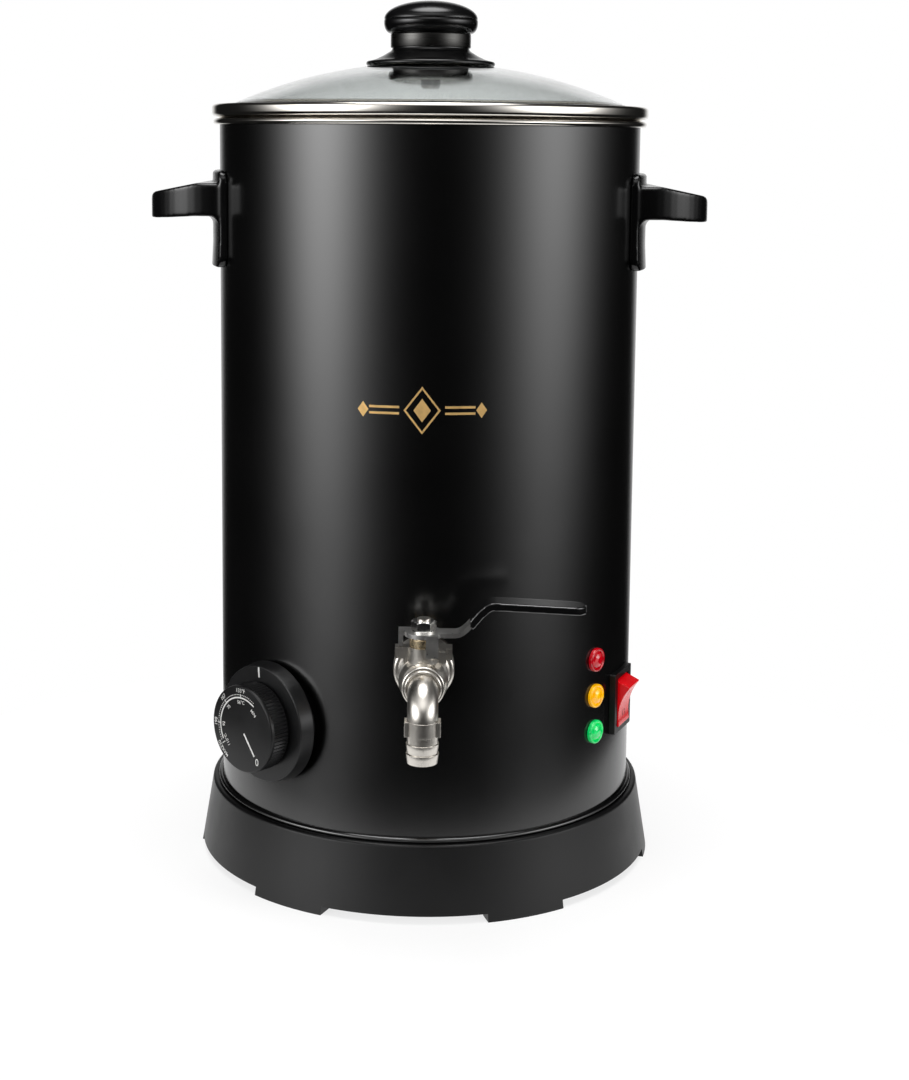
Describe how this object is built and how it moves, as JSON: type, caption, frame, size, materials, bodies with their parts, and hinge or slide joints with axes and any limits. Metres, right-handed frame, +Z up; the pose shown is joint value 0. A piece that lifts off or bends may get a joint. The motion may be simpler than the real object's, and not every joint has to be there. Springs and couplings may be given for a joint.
{
  "type": "wax melter",
  "caption": "Free-standing electric wax melting urn with glass lid, thermostat dial, indicator lamps, rocker switch and a lever ball valve with a hose spout.",
  "frame": {"origin": "on the worktop, on the vertical axis of the body", "axes": "+Z up along the body, -Y towards the valve at the front, +X to the right seen from the front"},
  "size_m": [0.278, 0.2825, 0.4317],
  "materials": {
    "black_paint": "satin black stove paint on steel sheet",
    "polished_steel": "polished stainless steel",
    "black_plastic": "matt black moulded plastic",
    "gloss_black": "glossy black phenolic",
    "black_vinyl": "soft black vinyl",
    "plated_steel": "zinc-plated steel",
    "cast_aluminium": "cast aluminium",
    "satin_nickel": "satin nickel plate",
    "black_steel": "brushed steel, blackened",
    "pale_brass": "pale brass",
    "copper_tone": "drawn copper tube",
    "pale_plastic": "pale ceramic-filled plastic",
    "white_ptfe": "white PTFE",
    "red_silicone": "red silicone rubber",
    "clear_glass": "clear toughened glass",
    "red_lens": "translucent red lens",
    "amber_lens": "translucent amber lens",
    "green_lens": "translucent green lens",
    "red_rocker": "translucent red rocker"
  },
  "bodies": {
    "body": {"outer_shell": "black_paint", "inner_pot": "polished_steel", "base_ring": "black_plastic", "bottom_plate": "plated_steel", "base_screws": "plated_steel", "tie_stud": "plated_steel", "tie_nut": "plated_steel", "heater_plate": "cast_aluminium", "heater_element": "plated_steel", "thermal_cutout": "pale_plastic", "heater_screws": "plated_steel", "sensor_bulb": "copper_tone", "bulb_clip": "plated_steel", "thermostat_body": "pale_plastic", "dial_screws": "plated_steel", "dial_bezel": "gloss_black", "outlet_socket": "polished_steel", "outlet_nipple": "polished_steel", "outlet_gasket": "red_silicone", "valve_body": "satin_nickel", "valve_seats": "white_ptfe", "stem_packing": "pale_brass", "valve_end_cap": "satin_nickel", "spout_elbow": "satin_nickel", "lamp_red": "red_lens", "lamp_amber": "amber_lens", "lamp_green": "green_lens", "lamp_holders": "pale_plastic", "switch_housing": "black_plastic", "switch_terminals": "pale_brass", "handle_left": "gloss_black", "handle_right": "gloss_black", "handle_screws": "plated_steel", "power_inlet": "black_plastic", "inlet_pins": "satin_nickel"},
    "lid": {"lid_glass": "clear_glass", "lid_rim": "polished_steel", "lid_seat": "gloss_black", "lid_washer": "plated_steel", "lid_screw": "plated_steel", "lid_knob_skirt": "gloss_black", "lid_knob_collar": "black_steel", "lid_knob": "gloss_black", "lid_knob_cap": "gloss_black"},
    "lever": {"valve_ball": "polished_steel", "valve_stem": "satin_nickel", "valve_lever": "satin_nickel", "lever_sleeve": "black_vinyl", "lever_washer": "plated_steel", "lever_nut": "plated_steel"},
    "dial": {"dial_knob": "gloss_black", "thermostat_shaft": "plated_steel"},
    "rocker": {"switch_rocker": "red_rocker"}
  },
  "joints": [
    {"name": "lid_lift", "type": "slide", "parent": "body", "child": "lid", "axis": [0, 0, 1], "range_m": [0, 0.12]},
    {"name": "lever_turn", "type": "hinge", "parent": "body", "child": "lever", "pos_m": [0, -0.134, 0.144], "axis": [0, 0, 1], "range_deg": [-90, 0]},
    {"name": "dial_turn", "type": "hinge", "parent": "body", "child": "dial", "pos_m": [-0.07769, -0.08479, 0.0864], "axis": [-0.6756, -0.7373, 0], "range_deg": [-135, 147]},
    {"name": "rocker_tilt", "type": "hinge", "parent": "body", "child": "rocker", "pos_m": [0.09481, -0.04025, 0.0874], "axis": [0.3907, 0.9205, 0], "range_deg": [-28, 0]}
  ]
}
